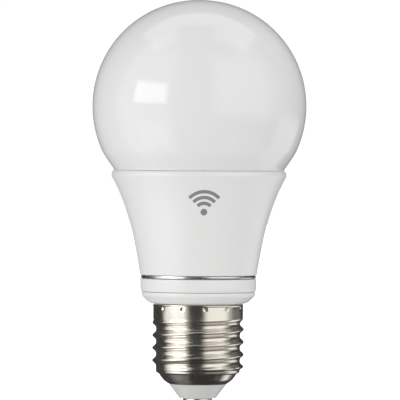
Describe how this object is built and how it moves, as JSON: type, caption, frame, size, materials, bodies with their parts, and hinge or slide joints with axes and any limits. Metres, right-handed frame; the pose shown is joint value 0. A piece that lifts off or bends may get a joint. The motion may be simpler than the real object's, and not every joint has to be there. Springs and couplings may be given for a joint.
{
  "type": "smart light bulb",
  "caption": "LED lamp with a frosted round globe, flared white housing, thin bright trim ring and E27 screw cap, with its driver, light engine and wireless board inside.",
  "frame": {"origin": "centre of the flat end of the centre contact, on the screw thread's axis", "axes": "+Z along the lamp's axis from the contact to the globe; -Y towards the lamp's front, the side with the printed mark; +X to the right seen from the front"},
  "size_m": [0.0616, 0.0616, 0.1162],
  "materials": {
    "white_plastic": "white moulded plastic, soft gloss",
    "opal_plastic": "frosted opal white diffuser, satin",
    "nickel_plate": "nickel plated rolled brass, bright with fine draw marks",
    "trim_chrome": "bright plated ring",
    "insulator_plastic": "pale grey-white moulded insulator",
    "contact_nickel": "nickel plated contact",
    "seal_rubber": "white silicone",
    "pressed_aluminium": "drawn aluminium",
    "plated_steel": "tinned steel",
    "thermal_pad_grey": "grey silicone pad",
    "board_white": "white solder mask on aluminium",
    "led_phosphor": "yellow phosphor in a white package",
    "board_green": "green solder mask on laminate",
    "moulded_black": "black moulded epoxy",
    "sleeve_plastic": "natural white insulating plastic",
    "capacitor_sleeve": "dark shrink sleeve",
    "ferrite_grey": "sintered ferrite",
    "enamelled_copper": "enamelled copper wire",
    "varistor_blue": "blue epoxy coating",
    "moulded_red": "red moulded plastic or insulation",
    "resistor_ceramic": "grey-green coated ceramic"
  },
  "bodies": {
    "root": {"diffuser_globe": "opal_plastic", "housing_shell": "white_plastic", "trim_ring": "trim_chrome", "collar_ring": "white_plastic", "base_neck": "white_plastic", "screw_shell": "nickel_plate", "cap_insulator": "insulator_plastic", "centre_contact": "contact_nickel", "globe_seal_ring": "seal_rubber", "heat_sink_cup": "pressed_aluminium", "thermal_pad": "thermal_pad_grey", "led_board": "board_white", "led_package_01": "led_phosphor", "led_package_02": "led_phosphor", "led_package_03": "led_phosphor", "led_package_04": "led_phosphor", "led_package_05": "led_phosphor", "led_package_06": "led_phosphor", "led_package_07": "led_phosphor", "led_package_08": "led_phosphor", "led_package_09": "led_phosphor", "led_package_10": "led_phosphor", "led_package_11": "led_phosphor", "led_package_12": "led_phosphor", "board_screw_1": "plated_steel", "board_screw_2": "plated_steel", "board_screw_3": "plated_steel", "wireless_board": "board_green", "wireless_shield_can": "plated_steel", "radio_crystal": "plated_steel", "antenna": "enamelled_copper", "board_socket": "moulded_black", "driver_sleeve": "sleeve_plastic", "driver_board": "board_green", "bulk_capacitor": "capacitor_sleeve", "output_capacitor": "capacitor_sleeve", "film_capacitor": "moulded_red", "choke_coil": "enamelled_copper", "fusible_resistor": "resistor_ceramic", "varistor": "varistor_blue", "bridge_rectifier": "moulded_black", "driver_chip": "moulded_black", "switching_transistor": "moulded_black", "transformer_core": "ferrite_grey", "transformer_winding": "enamelled_copper", "terminal_header": "moulded_black", "live_wire": "moulded_red", "neutral_wire": "white_plastic", "led_wire_positive": "moulded_red", "led_wire_negative": "moulded_black"}
  },
  "joints": []
}
